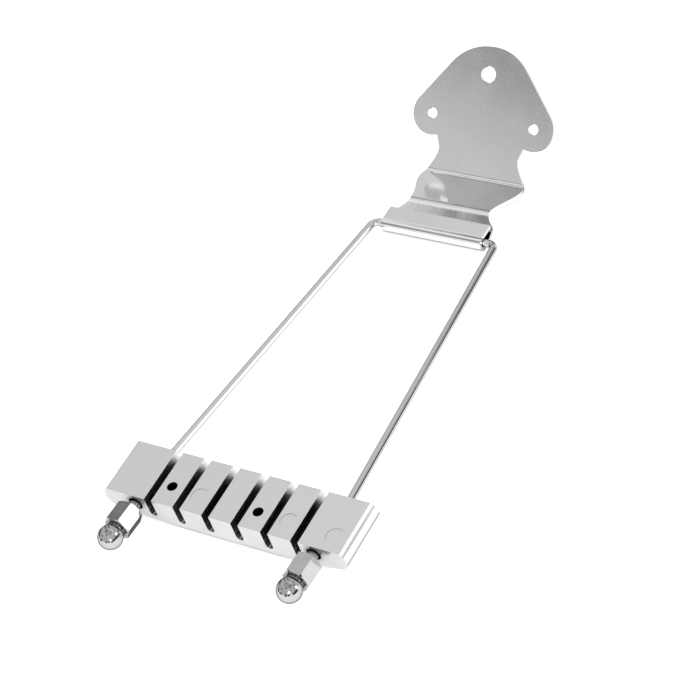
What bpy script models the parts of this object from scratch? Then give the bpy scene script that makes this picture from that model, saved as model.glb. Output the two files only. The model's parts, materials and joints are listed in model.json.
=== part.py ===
"""Trapeze tailpiece of an archtop guitar: slotted string block, bent wire, two cap nuts, hinged hanger.

The piece lies with the flat underside of its block facing up. X runs along the block, Y runs from the
cap nuts towards the hanger, Z is up. Sizes are in metres.
"""
import math

import bmesh
import bpy
from mathutils import Vector

MM = 0.001

# String block: X = 0, Y = 0, Z = 0 is the middle of its flat face's front edge
STRING_COUNT = 6
STRING_PITCH = 10.4 * MM
BLOCK_DEPTH = 19.4 * MM
BLOCK_HEIGHT = 10.5 * MM
BLOCK_ARCH_RADIUS = 300.0 * MM
BLOCK_END_X = 38.5 * MM
BLOCK_END_RADIUS = 4.5 * MM
BLOCK_END_Z = -3.5 * MM
BLOCK_FRONT_ROUND = 0.8 * MM
BLOCK_FLOOR_LENGTH = 14.0 * MM
BLOCK_BACK_Y = 20.2 * MM
BLOCK_BACK_Z = -5.0 * MM
BLOCK_EDGE_BEVEL = 0.3 * MM
SLOT_WIDTH = 2.6 * MM
SLOT_DEPTH = 7.4 * MM
CAST_HOLE_RADIUS = 1.7 * MM
CAST_HOLE_DEPTH = 2.5 * MM
CAST_HOLES = ((-21.1 * MM, 6.9 * MM), (10.0 * MM, 6.4 * MM))
CAST_RING_RADIUS = 2.75 * MM
CAST_RING_DEPTH = 0.15 * MM
CAST_RINGS = ((-10.8 * MM, 6.3 * MM), (20.7 * MM, 6.2 * MM), (36.8 * MM, 5.5 * MM))

# Trapeze wire: flat, its plane slopes away under the block
WIRE_RADIUS = 1.25 * MM
WIRE_END_X = 31.7 * MM
WIRE_DEPTH_IN_BLOCK = 3.65 * MM
WIRE_SLOPE = math.radians(4.0)
WIRE_TIP_Y = -10.9 * MM
WIRE_KNEE_Y = 21.5 * MM
WIRE_KNEE_RADIUS = 10.0 * MM
WIRE_CORNER_X = 22.7 * MM
WIRE_CORNER_RADIUS = 2.6 * MM
WIRE_LENGTH = 134.0 * MM

# Bores of the block and of the nuts
BORE_CLEARANCE = 0.3 * MM
COUNTERBORE_RADIUS = 2.4 * MM
COUNTERBORE_DEPTH = 6.0 * MM

# Cap nuts: distances run forward from the block's front face
NUT_SLEEVE_RADIUS = 1.9 * MM
NUT_SLEEVE_START = -5.0 * MM
NUT_HEX_START = 2.9 * MM
NUT_HEX_END = 10.6 * MM
NUT_FLATS = 8.0 * MM
NUT_CHAMFER = 0.45 * MM
NUT_NECK_RADIUS = 2.9 * MM
NUT_BALL_RADIUS = 3.95 * MM
NUT_BALL_CENTRE = 14.0 * MM
NUT_BORE_END = 11.5 * MM
NUT_TURN_FROM_UPRIGHT = math.radians(36.0)

# Hanger: stamped and bent sheet
SHEET = 1.2 * MM
HEM_CLEARANCE = 0.25 * MM
HEM_FLAP_LENGTH = 5.4 * MM
HEM_HALF_WIDTH = 18.6 * MM
HEM_END_Y = 5.7 * MM
HEM_EXIT_Y = 2.0 * MM
HEM_EXIT_RADIUS = 3.0 * MM
HUMP_Y = 11.5 * MM
HUMP_Z = 1.3 * MM
HUMP_RADIUS = 5.0 * MM
CREASE_Y = 29.0 * MM
CREASE_RADIUS = 2.3 * MM
PLATE_ANGLE = math.radians(50.0)
CREASE_TO_SCREWS = 19.5 * MM
SCREW_HOLE_X = 19.0 * MM
SCREW_HOLE_RADIUS = 1.85 * MM
SCREWS_TO_PIN_HOLE = 15.5 * MM
PIN_HOLE_RADIUS = 2.75 * MM
LOBE_RADIUS = 7.3 * MM
LOBE_START_ANGLE = math.radians(-112.0)
CROWN_RADIUS = 18.0 * MM
CROWN_TOP = 24.7 * MM
NOTCH_HALF_WIDTH = 14.8 * MM
NOTCH_BELOW_SCREWS = 10.7 * MM
BELLY_HALF_WIDTH = 19.05 * MM
BELLY_Y = 26.2 * MM
WAIST_HALF_WIDTH = 14.8 * MM
WAIST_Y = 11.3 * MM

HALF_TURN = math.pi
QUARTER_TURN = math.pi / 2
OUT_OF_WORKPIECE = 10.0 * MM

chrome_colour = (0.62, 0.63, 0.64, 1.0)
nickel_colour = (0.66, 0.66, 0.66, 1.0)


def clear_scene():
    for old in list(bpy.data.objects):
        bpy.data.objects.remove(old)


def new_collection(name):
    collection = bpy.data.collections.new(name)
    bpy.context.scene.collection.children.link(collection)
    return collection


def metal(name, colour, roughness):
    material = bpy.data.materials.new(name)
    material.use_nodes = True
    shader = material.node_tree.nodes["Principled BSDF"]
    shader.inputs["Base Color"].default_value = colour
    shader.inputs["Metallic"].default_value = 1.0
    shader.inputs["Roughness"].default_value = roughness
    return material


def empty(name, location, collection, parent=None, tilt=0.0):
    guide = bpy.data.objects.new(name, None)
    guide.location = location
    guide.rotation_euler.x = tilt
    guide.parent = parent
    collection.objects.link(guide)
    return guide


def add_object(name, mesh, collection, parent=None, location=(0, 0, 0), rotation=(0, 0, 0), material=None):
    item = bpy.data.objects.new(name, mesh)
    item.location = location
    item.rotation_euler = rotation
    item.parent = parent
    if material is not None:
        mesh.materials.clear()
        mesh.materials.append(material)
    collection.objects.link(item)
    return item


def face_outwards(work):
    """Turn every face of a closed body outwards, also where the body is a thin bent sheet."""
    bmesh.ops.recalc_face_normals(work, faces=work.faces)
    if work.calc_volume(signed=True) < 0:
        bmesh.ops.reverse_faces(work, faces=work.faces)


def baked_mesh(item, merge=0.00001):
    """Evaluated mesh of a temporary object, welded, with the temporary object removed."""
    bpy.context.view_layer.update()
    graph = bpy.context.evaluated_depsgraph_get()
    mesh = bpy.data.meshes.new_from_object(item.evaluated_get(graph))
    work = bmesh.new()
    work.from_mesh(mesh)
    bmesh.ops.remove_doubles(work, verts=work.verts, dist=merge)
    face_outwards(work)
    work.to_mesh(mesh)
    work.free()
    bpy.data.objects.remove(item)
    return mesh


def moved_mesh(mesh, place_of):
    """Give every vertex the place that place_of returns for it, and keep the faces outwards."""
    work = bmesh.new()
    work.from_mesh(mesh)
    for vertex in work.verts:
        vertex.co = place_of(vertex.co)
    face_outwards(work)
    work.to_mesh(mesh)
    work.free()
    return mesh


def outline_mesh(name, outlines, thickness):
    """Flat outlines in the XY plane, the later ones holes, thickened evenly both ways along Z."""
    curve = bpy.data.curves.new(name, "CURVE")
    curve.dimensions = "2D"
    curve.fill_mode = "BOTH"
    curve.extrude = thickness / 2
    for points in outlines:
        spline = curve.splines.new("POLY")
        spline.points.add(len(points) - 1)
        for slot, (x, y) in zip(spline.points, points):
            slot.co = (x, y, 0, 1)
        spline.use_cyclic_u = True
    item = bpy.data.objects.new(name, curve)
    bpy.context.scene.collection.objects.link(item)
    return baked_mesh(item)


def turned_mesh(name, profile, steps):
    """Profile of (radius, height) pairs, from top to bottom down the outer side, turned about Z."""
    mesh = bpy.data.meshes.new(name)
    work = bmesh.new()
    corners = [work.verts.new((radius, 0, height)) for radius, height in profile]
    for first, second in zip(corners, corners[1:]):
        work.edges.new((first, second))
    work.to_mesh(mesh)
    work.free()
    item = bpy.data.objects.new(name, mesh)
    bpy.context.scene.collection.objects.link(item)
    screw = item.modifiers.new("turn", "SCREW")
    screw.axis = "Z"
    screw.steps = steps
    screw.render_steps = steps
    screw.use_merge_vertices = True
    screw.merge_threshold = 0.00001
    return baked_mesh(item)


def cylinder_mesh(name, radius, depth, segments):
    mesh = bpy.data.meshes.new(name)
    work = bmesh.new()
    bmesh.ops.create_cone(work, cap_ends=True, segments=segments, radius1=radius, radius2=radius, depth=depth)
    work.to_mesh(mesh)
    work.free()
    return mesh


def arc(centre, radius, start, end, steps):
    """Points of an arc in a plane, from the start angle to the end angle, both included."""
    angles = [start + (end - start) * step / steps for step in range(steps + 1)]
    return [(centre[0] + radius * math.cos(a), centre[1] + radius * math.sin(a)) for a in angles]


def boolean(target, cutter, operation):
    modifier = target.modifiers.new(operation.lower() + "_" + cutter.name, "BOOLEAN")
    modifier.operation = operation
    modifier.solver = "EXACT"
    modifier.object = cutter
    return modifier


def as_cutter(item):
    item.hide_render = True
    item.display_type = "WIRE"
    return item


def bevel_edges(item, width, angle=math.radians(40)):
    modifier = item.modifiers.new("edge", "BEVEL")
    modifier.width = width
    modifier.segments = 1
    modifier.limit_method = "ANGLE"
    modifier.angle_limit = angle
    modifier.use_clamp_overlap = True


def smooth(mesh, angle=math.radians(35)):
    mesh.shade_smooth()
    mesh.set_sharp_from_angle(angle=angle)


def string_places():
    first = -(STRING_COUNT - 1) / 2 * STRING_PITCH
    return [first + STRING_PITCH * index for index in range(STRING_COUNT)]


def block_front_outline():
    """Front view of the block: flat top, round ends, arched lower side. Points are (x, z)."""
    flat_half = BLOCK_END_X + math.sqrt(BLOCK_END_RADIUS ** 2 - BLOCK_END_Z ** 2)
    top_angle = math.atan2(-BLOCK_END_Z, flat_half - BLOCK_END_X)
    arch_end_z = -BLOCK_HEIGHT + BLOCK_END_X ** 2 / (2 * BLOCK_ARCH_RADIUS)
    end_centre = (BLOCK_END_X, BLOCK_END_Z)
    right = arc(end_centre, BLOCK_END_RADIUS, top_angle, -QUARTER_TURN, 12)
    steps = 16
    arch = []
    for step in range(1, 2 * steps):
        x = BLOCK_END_X * (1 - step / steps)
        rise = x * x / (2 * BLOCK_ARCH_RADIUS)
        blend = (x / BLOCK_END_X) ** 8 * (BLOCK_END_Z - BLOCK_END_RADIUS - arch_end_z)
        arch.append((x, -BLOCK_HEIGHT + rise + blend))
    left = [(-x, z) for x, z in reversed(right)]
    return right + arch + left


def block_side_outline():
    """End view of the block: upright front, level floor, round back. Points are (y, z)."""
    round_centre = (BLOCK_FRONT_ROUND, BLOCK_FRONT_ROUND - BLOCK_HEIGHT)
    points = [(0, 0)]
    points += arc(round_centre, BLOCK_FRONT_ROUND, HALF_TURN, 3 * QUARTER_TURN, 4)
    points.append((BLOCK_FLOOR_LENGTH, -BLOCK_HEIGHT))
    steps = 10
    for step in range(1, steps + 1):
        angle = QUARTER_TURN * step / steps
        y = BLOCK_FLOOR_LENGTH + (BLOCK_BACK_Y - BLOCK_FLOOR_LENGTH) * math.sin(angle)
        z = BLOCK_BACK_Z - (BLOCK_HEIGHT + BLOCK_BACK_Z) * math.cos(angle)
        points.append((y, z))
    points.append((BLOCK_DEPTH, 0))
    return points


def slot_outline():
    """Slot with a round floor, open at the top. Points are (x, z)."""
    radius = SLOT_WIDTH / 2
    floor = arc((0, radius - SLOT_DEPTH), radius, HALF_TURN, 2 * HALF_TURN, 12)
    return [(-radius, OUT_OF_WORKPIECE)] + floor + [(radius, OUT_OF_WORKPIECE)]


def drawn_in_front_view(mesh):
    """Stand an outline up so that its thickness runs along Y."""
    return moved_mesh(mesh, lambda co: Vector((co.x, co.z + BLOCK_DEPTH / 2, co.y)))


def make_block(parts, cutters, frame, wire_frame, material):
    reach = BLOCK_DEPTH + 2 * OUT_OF_WORKPIECE
    front = drawn_in_front_view(outline_mesh("string_block", [block_front_outline()], reach))
    block = add_object("string_block", front, parts, frame, material=material)
    length = 2 * (BLOCK_END_X + BLOCK_END_RADIUS + OUT_OF_WORKPIECE)
    side_mesh = outline_mesh("block_side", [block_side_outline()], length)
    side_mesh = moved_mesh(side_mesh, lambda co: Vector((co.z, co.x, co.y)))
    side = as_cutter(add_object("block_side_shape", side_mesh, cutters, frame))
    boolean(block, side, "INTERSECT")
    slot_mesh = drawn_in_front_view(outline_mesh("slot_shape", [slot_outline()], reach))
    for number, x in enumerate(string_places(), start=1):
        slot = as_cutter(add_object(f"slot_{number}", slot_mesh, cutters, frame, (x, 0, 0)))
        boolean(block, slot, "DIFFERENCE")
    bevel_edges(block, BLOCK_EDGE_BEVEL)
    bore_mesh = cylinder_mesh("bore_shape", WIRE_RADIUS + BORE_CLEARANCE, 4 * BLOCK_DEPTH, 24)
    mouth_mesh = cylinder_mesh("mouth_shape", COUNTERBORE_RADIUS, 2 * COUNTERBORE_DEPTH, 24)
    turn = (QUARTER_TURN, 0, 0)
    for side_name, side_sign in (("left", -1), ("right", 1)):
        place = (side_sign * WIRE_END_X, 0, 0)
        bore = as_cutter(add_object(f"bore_{side_name}", bore_mesh, cutters, wire_frame, place, turn))
        mouth = as_cutter(add_object(f"mouth_{side_name}", mouth_mesh, cutters, wire_frame, place, turn))
        boolean(block, bore, "DIFFERENCE")
        boolean(block, mouth, "DIFFERENCE")
    hole_mesh = cylinder_mesh("cast_hole_shape", CAST_HOLE_RADIUS, 2 * CAST_HOLE_DEPTH, 20)
    for number, (x, y) in enumerate(CAST_HOLES, start=1):
        hole = as_cutter(add_object(f"cast_hole_{number}", hole_mesh, cutters, frame, (x, y, 0)))
        boolean(block, hole, "DIFFERENCE")
    ring_mesh = cylinder_mesh("cast_ring_shape", CAST_RING_RADIUS, 2 * CAST_RING_DEPTH, 24)
    for number, (x, y) in enumerate(CAST_RINGS, start=1):
        ring = as_cutter(add_object(f"cast_ring_{number}", ring_mesh, cutters, frame, (x, y, 0)))
        boolean(block, ring, "DIFFERENCE")
    smooth(block.data)
    return block


def rounded_corner(before, corner, after, radius, steps):
    """Points of an arc that rounds one corner of a route."""
    towards = (before - corner).normalized()
    onwards = (after - corner).normalized()
    half_angle = towards.angle(onwards) / 2
    reach = radius / math.tan(half_angle)
    middle = (towards + onwards).normalized()
    centre = corner + middle * (radius / math.sin(half_angle))
    start = corner + towards * reach - centre
    end = corner + onwards * reach - centre
    sweep = start.angle(end)
    points = []
    for step in range(steps + 1):
        share = step / steps
        first = math.sin((1 - share) * sweep) / math.sin(sweep)
        second = math.sin(share * sweep) / math.sin(sweep)
        points.append(centre + start * first + end * second)
    return points


def wire_route():
    tip = Vector((WIRE_END_X, WIRE_TIP_Y, 0))
    knee = Vector((WIRE_END_X, WIRE_KNEE_Y, 0))
    corner = Vector((WIRE_CORNER_X, WIRE_LENGTH, 0))
    middle = Vector((0, WIRE_LENGTH, 0))
    half = [tip] + rounded_corner(tip, knee, corner, WIRE_KNEE_RADIUS, 3)
    half += rounded_corner(knee, corner, middle, WIRE_CORNER_RADIUS, 8)
    other = [Vector((-point.x, point.y, point.z)) for point in reversed(half)]
    return half + other


def make_wire(parts, frame, material):
    curve = bpy.data.curves.new("trapeze_wire", "CURVE")
    curve.dimensions = "3D"
    curve.bevel_depth = WIRE_RADIUS
    curve.bevel_resolution = 6
    curve.use_fill_caps = True
    route = wire_route()
    spline = curve.splines.new("POLY")
    spline.points.add(len(route) - 1)
    for slot, point in zip(spline.points, route):
        slot.co = (*point, 1)
    temporary = bpy.data.objects.new("wire_route", curve)
    bpy.context.scene.collection.objects.link(temporary)
    mesh = baked_mesh(temporary)
    wire = add_object("trapeze_wire", mesh, parts, frame, material=material)
    smooth(mesh, math.radians(50))
    return wire


def nut_stem_profile():
    """Ball, neck and sleeve of the nut, turned about its axis, from the tip down."""
    waist = math.acos(NUT_NECK_RADIUS / NUT_BALL_RADIUS)
    ball = arc((0, NUT_BALL_CENTRE), NUT_BALL_RADIUS, QUARTER_TURN, -waist, 14)
    ball[0] = (0, ball[0][1])
    middle = (NUT_HEX_START + NUT_HEX_END) / 2
    stem = [(NUT_NECK_RADIUS, middle), (NUT_SLEEVE_RADIUS, middle)]
    return ball + stem + [(NUT_SLEEVE_RADIUS, NUT_SLEEVE_START), (0, NUT_SLEEVE_START)]


def nut_chamfer_profile():
    """Barrel that trims the hexagon's corners at both ends."""
    flat = NUT_FLATS / 2
    corner = flat / math.cos(HALF_TURN / 6) + 0.02 * MM
    top = [(0, NUT_HEX_END), (flat, NUT_HEX_END), (corner, NUT_HEX_END - NUT_CHAMFER)]
    return top + [(corner, NUT_HEX_START + NUT_CHAMFER), (flat, NUT_HEX_START), (0, NUT_HEX_START)]


def make_nut(name, side_sign, parts, cutters, wire_frame, material):
    corner = NUT_FLATS / 2 / math.cos(HALF_TURN / 6)
    first = QUARTER_TURN - side_sign * NUT_TURN_FROM_UPRIGHT
    sixth = HALF_TURN / 3
    outline = [(corner * math.cos(first + sixth * k), corner * math.sin(first + sixth * k)) for k in range(6)]
    middle = (NUT_HEX_START + NUT_HEX_END) / 2
    hexagon = outline_mesh(name, [outline], NUT_HEX_END - NUT_HEX_START)
    hexagon = moved_mesh(hexagon, lambda co: Vector((co.x, co.y, co.z + middle)))
    place = (side_sign * WIRE_END_X, 0, 0)
    turn = (QUARTER_TURN, 0, 0)
    nut = add_object(name, hexagon, parts, wire_frame, place, turn, material)
    chamfer_mesh = turned_mesh(name + "_chamfer", nut_chamfer_profile(), 32)
    chamfer = as_cutter(add_object(name + "_chamfer", chamfer_mesh, cutters, wire_frame, place, turn))
    boolean(nut, chamfer, "INTERSECT")
    stem_mesh = turned_mesh(name + "_stem", nut_stem_profile(), 32)
    stem = as_cutter(add_object(name + "_stem", stem_mesh, cutters, wire_frame, place, turn))
    boolean(nut, stem, "UNION")
    bore_start = NUT_SLEEVE_START - OUT_OF_WORKPIECE
    bore_mesh = cylinder_mesh(name + "_bore", WIRE_RADIUS + BORE_CLEARANCE, NUT_BORE_END - bore_start, 24)
    bore_middle = (NUT_BORE_END + bore_start) / 2
    bore_mesh = moved_mesh(bore_mesh, lambda co: Vector((co.x, co.y, co.z + bore_middle)))
    bore = as_cutter(add_object(name + "_bore", bore_mesh, cutters, wire_frame, place, turn))
    boolean(nut, bore, "DIFFERENCE")
    smooth(hexagon)
    return nut


def hem_radius():
    """Radius of the sheet's middle surface round the wire."""
    return WIRE_RADIUS + HEM_CLEARANCE + SHEET / 2


def crease_point():
    """Corner of the neck and the plate, low enough for the bend to touch the hem's floor level."""
    outer = hem_radius() + SHEET / 2
    centre_z = CREASE_RADIUS + SHEET / 2 - outer
    crease_z = -outer
    for _ in range(6):
        fall = math.atan2(HUMP_Z - crease_z, CREASE_Y - HUMP_Y)
        half_bend = (PLATE_ANGLE + fall) / 2
        direction = (PLATE_ANGLE - fall) / 2 - QUARTER_TURN
        crease_z = centre_z + CREASE_RADIUS / math.cos(half_bend) * math.sin(direction)
    return Vector((CREASE_Y, crease_z))


def hanger_profile():
    """Middle line of the bent sheet, from the free end of the hem to the top of the plate, as (y, z)."""
    radius = hem_radius()
    hem_exit = Vector((HEM_EXIT_Y, -radius))
    hump = Vector((HUMP_Y, HUMP_Z))
    crease = crease_point()
    along_plate = Vector((math.cos(PLATE_ANGLE), math.sin(PLATE_ANGLE)))
    top = crease + along_plate * (CREASE_TO_SCREWS + CROWN_TOP)
    wrap = [Vector(point) for point in arc((0, 0), radius, QUARTER_TURN, 3 * QUARTER_TURN, 14)]
    points = [Vector((HEM_FLAP_LENGTH, radius))] + wrap
    points += rounded_corner(wrap[-1], hem_exit, hump, HEM_EXIT_RADIUS, 4)
    points += rounded_corner(hem_exit, hump, crease, HUMP_RADIUS, 6)
    points += rounded_corner(hump, crease, top, CREASE_RADIUS, 8)
    points.append(top)
    return points


def length_at(profile, lengths, y):
    """Running length at which the neck, past the hem, reaches a distance Y from the hinge."""
    for index in range(len(profile) - 1, 0, -1):
        before = profile[index - 1]
        after = profile[index]
        if before.x <= y <= after.x:
            share = (y - before.x) / (after.x - before.x)
            return lengths[index - 1] + share * (lengths[index] - lengths[index - 1])
    return 0.0


def along_profile(points):
    """Running length at each point of the profile."""
    lengths = [0.0]
    for first, second in zip(points, points[1:]):
        lengths.append(lengths[-1] + (second - first).length)
    return lengths


def smooth_step(share):
    return (1 - math.cos(HALF_TURN * share)) / 2


def hanger_outline(profile, lengths):
    """Right half of the flat blank, from the hem's free end to the top, as (x, running length)."""
    screws = lengths[-1] - CROWN_TOP
    stations = [(HEM_HALF_WIDTH, length_at(profile, lengths, HEM_END_Y))]
    stations.append((WAIST_HALF_WIDTH, length_at(profile, lengths, WAIST_Y)))
    stations.append((BELLY_HALF_WIDTH, length_at(profile, lengths, BELLY_Y)))
    stations.append((NOTCH_HALF_WIDTH, screws - NOTCH_BELOW_SCREWS))
    edge = [(HEM_HALF_WIDTH, 0.0), stations[0]]
    for (x_from, s_from), (x_to, s_to) in zip(stations, stations[1:]):
        steps = 10
        for step in range(1, steps + 1):
            share = step / steps
            edge.append((x_from + (x_to - x_from) * smooth_step(share), s_from + (s_to - s_from) * share))
    crown_centre = CROWN_TOP - CROWN_RADIUS
    gap = math.hypot(SCREW_HOLE_X, crown_centre)
    lean = math.atan2(crown_centre, -SCREW_HOLE_X)
    tangent = lean - math.acos((LOBE_RADIUS - CROWN_RADIUS) / gap)
    lobe = arc((SCREW_HOLE_X, screws), LOBE_RADIUS, LOBE_START_ANGLE, tangent, 20)
    crown = arc((0, screws + crown_centre), CROWN_RADIUS, tangent, QUARTER_TURN, 12)
    return edge + lobe + crown


def blank_outline(profile, lengths):
    right = hanger_outline(profile, lengths)
    left = [(-x, s) for x, s in reversed(right) if x > 0.01 * MM]
    return right + left


def circle(centre, radius, count):
    return arc(centre, radius, 0, 2 * HALF_TURN * (count - 1) / count, count - 1)


def bend_sheet(mesh, profile, lengths):
    """Fold the flat blank along the profile. X stays, running length and thickness follow the bends."""
    work = bmesh.new()
    work.from_mesh(mesh)
    for cut in lengths[1:-1]:
        everything = list(work.verts) + list(work.edges) + list(work.faces)
        bmesh.ops.bisect_plane(work, geom=everything, plane_co=(0, cut, 0), plane_no=(0, 1, 0), dist=1e-7)
    directions = [(second - first).normalized() for first, second in zip(profile, profile[1:])]
    for vertex in work.verts:
        x, run, offset = vertex.co
        index = 0
        while index < len(directions) - 1 and run > lengths[index + 1] + 1e-7:
            index += 1
        base = profile[index] + directions[index] * (run - lengths[index])
        across = Vector((-directions[index].y, directions[index].x))
        scale = 1.0
        at_joint = abs(run - lengths[index + 1]) < 2e-7 and index < len(directions) - 1
        if at_joint:
            following = Vector((-directions[index + 1].y, directions[index + 1].x))
            mitre = (across + following).normalized()
            scale = 1.0 / mitre.dot(across)
            across = mitre
        place = base + across * offset * scale
        vertex.co = (x, place.x, place.y)
    face_outwards(work)
    work.to_mesh(mesh)
    work.free()


def make_hanger(parts, hinge, material):
    profile = hanger_profile()
    lengths = along_profile(profile)
    screws = lengths[-1] - CROWN_TOP
    outlines = [blank_outline(profile, lengths)]
    outlines.append(circle((-SCREW_HOLE_X, screws), SCREW_HOLE_RADIUS, 24))
    outlines.append(circle((SCREW_HOLE_X, screws), SCREW_HOLE_RADIUS, 24))
    outlines.append(circle((0, screws + SCREWS_TO_PIN_HOLE), PIN_HOLE_RADIUS, 32))
    mesh = outline_mesh("hanger_blank", outlines, SHEET)
    bend_sheet(mesh, profile, lengths)
    hanger = add_object("hanger", mesh, parts, hinge, material=material)
    smooth(mesh)
    return hanger


def rest_tilt():
    """Tilt of the wire that lets the block's front edge and the hem stand on one level floor."""
    crest = Vector((BLOCK_FRONT_ROUND, -BLOCK_HEIGHT))
    pin_y = WIRE_LENGTH * math.cos(WIRE_SLOPE)
    pin_z = -WIRE_DEPTH_IN_BLOCK - WIRE_LENGTH * math.sin(WIRE_SLOPE)
    reach = Vector((pin_y, pin_z)) - crest
    outer = hem_radius() + SHEET / 2
    block_tilt = math.asin(outer / reach.length) - math.atan2(reach.y, reach.x)
    return block_tilt - WIRE_SLOPE


def stand_on_floor(root, parts):
    """Move the whole piece so that its box stands on Z = 0, centred on the origin."""
    bpy.context.view_layer.update()
    graph = bpy.context.evaluated_depsgraph_get()
    corners = []
    for item in parts.objects:
        if item.type != "MESH":
            continue
        shape = item.evaluated_get(graph)
        corners += [shape.matrix_world @ vertex.co for vertex in shape.data.vertices]
    low = Vector([min(corner[axis] for corner in corners) for axis in range(3)])
    high = Vector([max(corner[axis] for corner in corners) for axis in range(3)])
    root.location = (-(low.x + high.x) / 2, -(low.y + high.y) / 2, -low.z)
    bpy.context.view_layer.update()


def main():
    clear_scene()
    parts = new_collection("archtop_tailpiece")
    cutters = new_collection("cutters")
    chrome = metal("chrome", chrome_colour, 0.08)
    nut_chrome = metal("nut_chrome", nickel_colour, 0.06)
    tilt = rest_tilt()
    root = empty("tailpiece", (0, 0, 0), parts)
    wire_frame = empty("wire_plane", (0, 0, 0), parts, root, tilt)
    raised = (0, -math.sin(WIRE_SLOPE) * WIRE_DEPTH_IN_BLOCK, math.cos(WIRE_SLOPE) * WIRE_DEPTH_IN_BLOCK)
    block_frame = empty("block_face", raised, parts, wire_frame, WIRE_SLOPE)
    hinge = empty("hinge_axis", (0, WIRE_LENGTH, 0), parts, wire_frame, -tilt)
    make_block(parts, cutters, block_frame, wire_frame, chrome)
    make_wire(parts, wire_frame, chrome)
    make_nut("cap_nut_left", -1, parts, cutters, wire_frame, nut_chrome)
    make_nut("cap_nut_right", 1, parts, cutters, wire_frame, nut_chrome)
    make_hanger(parts, hinge, chrome)
    stand_on_floor(root, parts)


main()
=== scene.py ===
"""Looks of the archtop tailpiece: chrome materials, a pale studio and the photo's camera."""
import json

import bpy
from mathutils import Matrix, Vector


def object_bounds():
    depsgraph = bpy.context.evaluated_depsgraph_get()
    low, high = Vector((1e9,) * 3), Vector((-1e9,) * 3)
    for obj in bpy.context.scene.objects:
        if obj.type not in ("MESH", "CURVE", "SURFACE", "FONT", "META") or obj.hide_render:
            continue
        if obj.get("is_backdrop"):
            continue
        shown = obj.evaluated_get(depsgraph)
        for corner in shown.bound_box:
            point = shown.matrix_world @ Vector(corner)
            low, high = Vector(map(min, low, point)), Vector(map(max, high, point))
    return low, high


MM = 0.001

# Camera as fitted to the photo, in the frame of the block's flat face
FOCAL_PIXELS = 2336.3
PHOTO_PIXELS = 680
SENSOR_MM = 36.0
CAMERA_PLACE = Vector((357.8, -295.9, 502.2)) * MM
CAMERA_RIGHT = Vector((0.846, 0.467, -0.257))
CAMERA_FORWARD = Vector((-0.4966, 0.5143, -0.6992))
NEAREST_SEEN = 0.01
FARTHEST_SEEN = 20.0
BLOCK_MIDDLE_Y = 9.7 * MM

# Studio walls and ceiling: sine of the height above the horizon, brightness there
STUDIO_TONES = (
    (0.0, 0.05),
    (0.14, 0.08),
    (0.2, 0.9),
    (0.3, 0.85),
    (0.4, 0.66),
    (0.5, 0.64),
    (0.55, 0.25),
    (0.6, 0.3),
    (0.64, 0.7),
    (0.78, 0.74),
    (0.83, 0.95),
    (0.872, 0.9),
    (0.884, 0.2),
    (0.93, 0.45),
    (1.0, 0.6),
)
WHITE = (1, 1, 1, 1)

# Floor: half its width, its drop below the piece, its own colour and the light that makes it look white
FLOOR_REACH = 3.0
FLOOR_DROP = 0.2 * MM
FLOOR_COLOUR = (0.93, 0.93, 0.93, 1)
FLOOR_ROUGHNESS = 0.9
FLOOR_LIFT = 0.75

# Softboxes: where they stand in metres, their size in metres and their power in watts
FRONT_SOFTBOX_PLACE = (0.7, -0.9, 0.5)
FRONT_SOFTBOX_SIZE = (0.5, 0.3)
FRONT_SOFTBOX_WATTS = 1.2
SIDE_SOFTBOX_PLACE = (1.0, 0.6, 0.5)
SIDE_SOFTBOX_SIZE = (0.4, 0.4)
SIDE_SOFTBOX_WATTS = 1.0

# Plating: share of light returned at a grazing angle, and how cloudy its tone and gloss are
EDGE_TINT = 0.12
DULLEST_TONE = 0.94
GLOSS_SPREAD = 0.06
LEAST_ROUGHNESS = 0.02
CLOUD_DETAIL = 6.0
GLOSS_CLOUDS = (0.3, 0.7)
TONE_CLOUDS = (0.35, 0.65)
GRAIN_TIMES_FINER = 9
GRAIN_DETAIL = 3.0
GRAIN_HEIGHT = 0.05 * MM

# Painted shade: near-black colour laid into slots and bores, where shade falls
PAINTED_SHADE_REACH = 4.0 * MM
PAINTED_RECESS_SHADE_COLOUR = (0.004, 0.004, 0.004, 1)
PAINTED_SHADE_SAMPLES = 8
PAINTED_SHADE_BLACK_BELOW = 0.25
PAINTED_SHADE_CLEAR_ABOVE = 0.62

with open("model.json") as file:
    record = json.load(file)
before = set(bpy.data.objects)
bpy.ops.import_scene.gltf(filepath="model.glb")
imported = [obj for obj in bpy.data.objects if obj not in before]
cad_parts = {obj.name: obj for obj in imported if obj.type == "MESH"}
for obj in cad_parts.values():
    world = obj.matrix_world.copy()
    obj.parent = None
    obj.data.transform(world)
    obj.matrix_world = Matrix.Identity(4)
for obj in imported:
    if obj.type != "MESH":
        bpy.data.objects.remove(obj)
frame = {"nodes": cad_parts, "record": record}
cad_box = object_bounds()


def plain(value):
    """Nested vectors as plain lists of numbers."""
    if isinstance(value, (int, float)):
        return float(value)
    return [plain(part) for part in value]


def mount(name):
    """Place and outward direction of a mount in the record."""
    for entry in frame["record"]["mounts"]:
        if entry["name"] == name:
            return Vector(entry["pos_m"]), Vector(entry["axis"])
    raise ValueError(name)


def block_face_matrix():
    """Frame of the block's flat face: its front edge's middle, X along the block, Z out of the face."""
    spot, up = mount("block_underside")
    right = Vector((1, 0, 0))
    back = up.cross(right).normalized()
    origin = spot - back * BLOCK_MIDDLE_Y
    turned = Matrix((right, back, up)).transposed().to_4x4()
    return Matrix.Translation(origin) @ turned


def new_material(name):
    """Material with its node tree and its main shader."""
    material = bpy.data.materials.new(name)
    material.use_nodes = True
    return material, material.node_tree, material.node_tree.nodes["Principled BSDF"]


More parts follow.
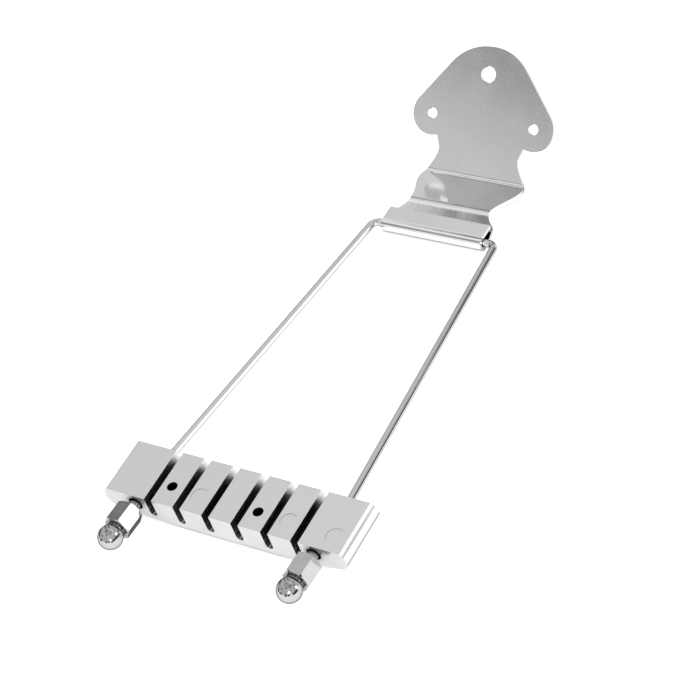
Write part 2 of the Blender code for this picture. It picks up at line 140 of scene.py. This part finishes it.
def map_range(tree, value, low, high, to_low=0.0, to_high=1.0):
    """Value from low to high, mapped to the range from to_low to to_high."""
    node = tree.nodes.new("ShaderNodeMapRange")
    node.inputs["From Min"].default_value = low
    node.inputs["From Max"].default_value = high
    node.inputs["To Min"].default_value = to_low
    node.inputs["To Max"].default_value = to_high
    tree.links.new(value, node.inputs["Value"])
    return node.outputs["Result"]


def noise(tree, vector, scale, detail):
    """Cloudy pattern between 0 and 1."""
    node = tree.nodes.new("ShaderNodeTexNoise")
    node.inputs["Scale"].default_value = scale
    node.inputs["Detail"].default_value = detail
    tree.links.new(vector, node.inputs["Vector"])
    return node.outputs["Fac"]


def mixed_colour(tree, factor, colours):
    """Blend of two colours, given as values or as sockets: the first at 0, the second at 1."""
    node = tree.nodes.new("ShaderNodeMix")
    node.data_type = "RGBA"
    tree.links.new(factor, node.inputs["Factor"])
    for letter, colour in zip("AB", colours):
        if isinstance(colour, bpy.types.NodeSocket):
            tree.links.new(colour, node.inputs[letter])
        else:
            node.inputs[letter].default_value = colour
    return node.outputs["Result"]


def streaked_place(tree, streak):
    """Place on the piece, stretched so that patterns run in streaks."""
    place = tree.nodes.new("ShaderNodeTexCoord")
    mapping = tree.nodes.new("ShaderNodeMapping")
    mapping.inputs["Scale"].default_value = streak
    tree.links.new(place.outputs["Object"], mapping.inputs["Vector"])
    return mapping.outputs["Vector"]


def painted_shade_openness(tree):
    """Mask for the painted shade: 0 deep in slots and bores, 1 on open faces."""
    cover = tree.nodes.new("ShaderNodeAmbientOcclusion")
    cover.samples = PAINTED_SHADE_SAMPLES
    cover.inputs["Distance"].default_value = PAINTED_SHADE_REACH
    return map_range(tree, cover.outputs["AO"], PAINTED_SHADE_BLACK_BELOW, PAINTED_SHADE_CLEAR_ABOVE)


def fine_bump(tree, vector, scale, strength):
    """Faint grain of the plated surface, as a normal."""
    bump = tree.nodes.new("ShaderNodeBump")
    bump.inputs["Strength"].default_value = strength
    bump.inputs["Distance"].default_value = GRAIN_HEIGHT
    tree.links.new(noise(tree, vector, scale, GRAIN_DETAIL), bump.inputs["Height"])
    return bump.outputs["Normal"]


def chrome(name, colour, roughness, cloud_scale, grain_strength, streak=(1.0, 1.0, 1.0)):
    """Plated metal with cloudy tone and gloss, fine grain, and painted shade in its recesses."""
    material, tree, shader = new_material(name)
    shader.inputs["Metallic"].default_value = 1.0
    shader.inputs["Specular Tint"].default_value = (EDGE_TINT, EDGE_TINT, EDGE_TINT, 1)
    vector = streaked_place(tree, streak)
    cloud = noise(tree, vector, cloud_scale, CLOUD_DETAIL)
    glossy = max(LEAST_ROUGHNESS, roughness - GLOSS_SPREAD)
    dull = roughness + GLOSS_SPREAD
    tree.links.new(map_range(tree, cloud, *GLOSS_CLOUDS, glossy, dull), shader.inputs["Roughness"])
    shaded = tuple(DULLEST_TONE * part for part in colour[:3]) + (1.0,)
    plating = mixed_colour(tree, map_range(tree, cloud, *TONE_CLOUDS), (shaded, colour))
    # Painted shade: slots and bores get a near-black base colour where shade falls
    plating_with_painted_shade = mixed_colour(tree, painted_shade_openness(tree), (PAINTED_RECESS_SHADE_COLOUR, plating))
    tree.links.new(plating_with_painted_shade, shader.inputs["Base Color"])
    normal = fine_bump(tree, vector, cloud_scale * GRAIN_TIMES_FINER, grain_strength)
    tree.links.new(normal, shader.inputs["Normal"])
    return material


def dress(node, material):
    """Give a CAD node its material."""
    mesh = frame["nodes"][node].data
    mesh.materials.clear()
    mesh.materials.append(material)


def dress_all():
    """The block is the dullest, the nuts the glossiest; the streaks run along the piece."""
    cast_chrome = chrome(
        "cast_chrome",
        colour=(0.86, 0.86, 0.87, 1),
        roughness=0.24,
        cloud_scale=160.0,
        grain_strength=0.12,
        streak=(1.0, 0.25, 1.0),
    )
    wire_chrome = chrome(
        "wire_chrome",
        colour=(0.7, 0.7, 0.71, 1),
        roughness=0.14,
        cloud_scale=220.0,
        grain_strength=0.06,
        streak=(1.0, 0.1, 1.0),
    )
    sheet_chrome = chrome(
        "sheet_chrome",
        colour=(0.9, 0.9, 0.91, 1),
        roughness=0.1,
        cloud_scale=120.0,
        grain_strength=0.1,
        streak=(1.0, 0.3, 1.0),
    )
    nut_chrome = chrome(
        "nut_chrome_polished",
        colour=(0.55, 0.55, 0.55, 1),
        roughness=0.08,
        cloud_scale=300.0,
        grain_strength=0.04,
    )
    dress("string_block", cast_chrome)
    dress("trapeze_wire", wire_chrome)
    dress("hanger", sheet_chrome)
    dress("cap_nut_left", nut_chrome)
    dress("cap_nut_right", nut_chrome)


def floor_material():
    """Matt pale floor that the camera and the metal see as white, with the piece's soft shadow on it."""
    material, tree, shader = new_material("studio_floor")
    shader.inputs["Base Color"].default_value = FLOOR_COLOUR
    shader.inputs["Roughness"].default_value = FLOOR_ROUGHNESS
    shader.inputs["Specular IOR Level"].default_value = 0.0
    shader.inputs["Emission Color"].default_value = WHITE
    rays = tree.nodes.new("ShaderNodeLightPath")
    seen = rays.outputs["Is Camera Ray"]
    for kind in ("Is Glossy Ray", "Is Transmission Ray"):
        either = tree.nodes.new("ShaderNodeMath")
        either.operation = "MAXIMUM"
        tree.links.new(seen, either.inputs[0])
        tree.links.new(rays.outputs[kind], either.inputs[1])
        seen = either.outputs["Value"]
    lift = tree.nodes.new("ShaderNodeMath")
    lift.operation = "MULTIPLY"
    lift.inputs[1].default_value = FLOOR_LIFT
    tree.links.new(seen, lift.inputs[0])
    tree.links.new(lift.outputs["Value"], shader.inputs["Emission Strength"])
    return material


def make_floor():
    near = -FLOOR_REACH
    far = FLOOR_REACH
    corners = [(near, near, 0), (far, near, 0), (far, far, 0), (near, far, 0)]
    mesh = bpy.data.meshes.new("studio_floor")
    mesh.from_pydata(corners, [], [(0, 1, 2, 3)])
    mesh.materials.append(floor_material())
    floor = bpy.data.objects.new("studio_floor", mesh)
    floor.location.z = -FLOOR_DROP
    bpy.context.scene.collection.objects.link(floor)
    floor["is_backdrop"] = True


def grey(brightness):
    return (brightness, brightness, brightness, 1)


def fill_ramp(ramp, tones):
    """Set a colour ramp's stops to pairs of place and brightness."""
    first, last = ramp.elements
    first.position = tones[0][0]
    first.color = grey(tones[0][1])
    last.position = tones[-1][0]
    last.color = grey(tones[-1][1])
    for height, brightness in tones[1:-1]:
        ramp.elements.new(height).color = grey(brightness)


def make_world():
    """Studio whose tones the metal mirrors, plain white where the camera looks past the floor."""
    world = bpy.data.worlds.new("studio")
    bpy.context.scene.world = world
    world.use_nodes = True
    tree = world.node_tree
    background = tree.nodes["Background"]
    background.inputs["Strength"].default_value = 1.0
    direction = tree.nodes.new("ShaderNodeTexCoord")
    split = tree.nodes.new("ShaderNodeSeparateXYZ")
    tree.links.new(direction.outputs["Generated"], split.inputs["Vector"])
    ramp = tree.nodes.new("ShaderNodeValToRGB")
    fill_ramp(ramp.color_ramp, STUDIO_TONES)
    tree.links.new(split.outputs["Z"], ramp.inputs["Fac"])
    rays = tree.nodes.new("ShaderNodeLightPath")
    colour = mixed_colour(tree, rays.outputs["Is Camera Ray"], (ramp.outputs["Color"], WHITE))
    tree.links.new(colour, background.inputs["Color"])


def area_light(name, place, size, watts):
    """Rectangular softbox that faces the piece's middle."""
    light = bpy.data.lights.new(name, "AREA")
    light.shape = "RECTANGLE"
    light.size = size[0]
    light.size_y = size[1]
    light.energy = watts
    item = bpy.data.objects.new(name, light)
    item.location = place
    item.rotation_euler = (-Vector(place)).to_track_quat("-Z", "Y").to_euler()
    bpy.context.scene.collection.objects.link(item)


def make_camera(face):
    """Camera of the photo, placed from the block's flat face."""
    camera = bpy.data.cameras.new("camera")
    camera.sensor_fit = "HORIZONTAL"
    camera.sensor_width = SENSOR_MM
    camera.lens = FOCAL_PIXELS / PHOTO_PIXELS * SENSOR_MM
    camera.clip_start = NEAREST_SEEN
    camera.clip_end = FARTHEST_SEEN
    item = bpy.data.objects.new("camera", camera)
    bpy.context.scene.collection.objects.link(item)
    forward = CAMERA_FORWARD.normalized()
    right = (CAMERA_RIGHT - forward * CAMERA_RIGHT.dot(forward)).normalized()
    up = right.cross(forward)
    turned = Matrix((right, up, -forward)).transposed().to_4x4()
    item.matrix_world = face @ Matrix.Translation(CAMERA_PLACE) @ turned
    bpy.context.scene.camera = item


bpy.context.scene.view_settings.view_transform = "Standard"
dress_all()
make_floor()
make_world()
make_camera(block_face_matrix())
area_light("front_softbox", FRONT_SOFTBOX_PLACE, FRONT_SOFTBOX_SIZE, FRONT_SOFTBOX_WATTS)
area_light("side_softbox", SIDE_SOFTBOX_PLACE, SIDE_SOFTBOX_SIZE, SIDE_SOFTBOX_WATTS)

{"cad": plain(cad_box), "visual": plain(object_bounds())}
